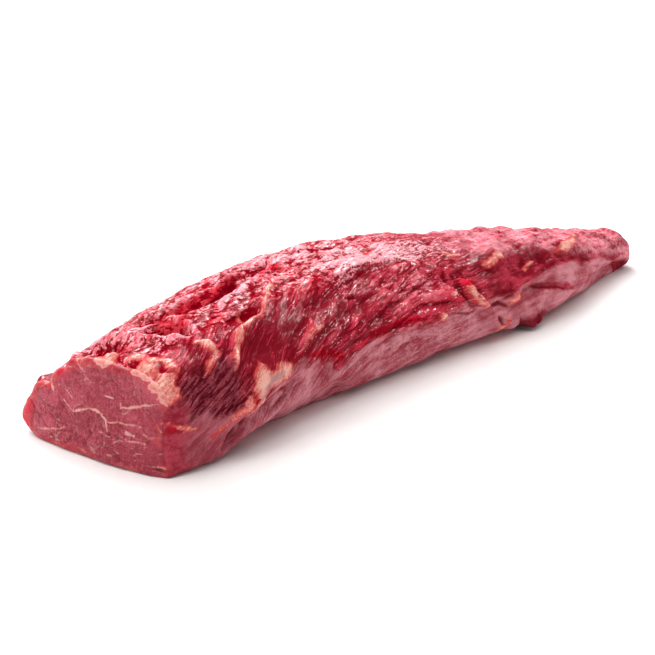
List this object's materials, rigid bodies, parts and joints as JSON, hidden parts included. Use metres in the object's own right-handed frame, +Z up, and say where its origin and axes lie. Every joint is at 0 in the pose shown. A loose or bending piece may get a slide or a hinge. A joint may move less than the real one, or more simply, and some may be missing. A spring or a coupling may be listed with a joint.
{
  "type": "raw beef tenderloin",
  "caption": "Whole trimmed raw beef tenderloin lying on its flat underside, with a square cut end, a torn fatty side and a thin rounded tail.",
  "frame": {"origin": "middle of the footprint's box, on the flat underside", "axes": "+X along the length from the cut end to the tail, +Y to the smooth far side, -Y to the torn near side, +Z up"},
  "size_m": [0.5082, 0.1236, 0.0748],
  "materials": {
    "meat": "moist raw muscle, deep red, with pale fat and a thin lilac-pink membrane"
  },
  "bodies": {
    "root": {"tenderloin": "meat"}
  },
  "joints": []
}
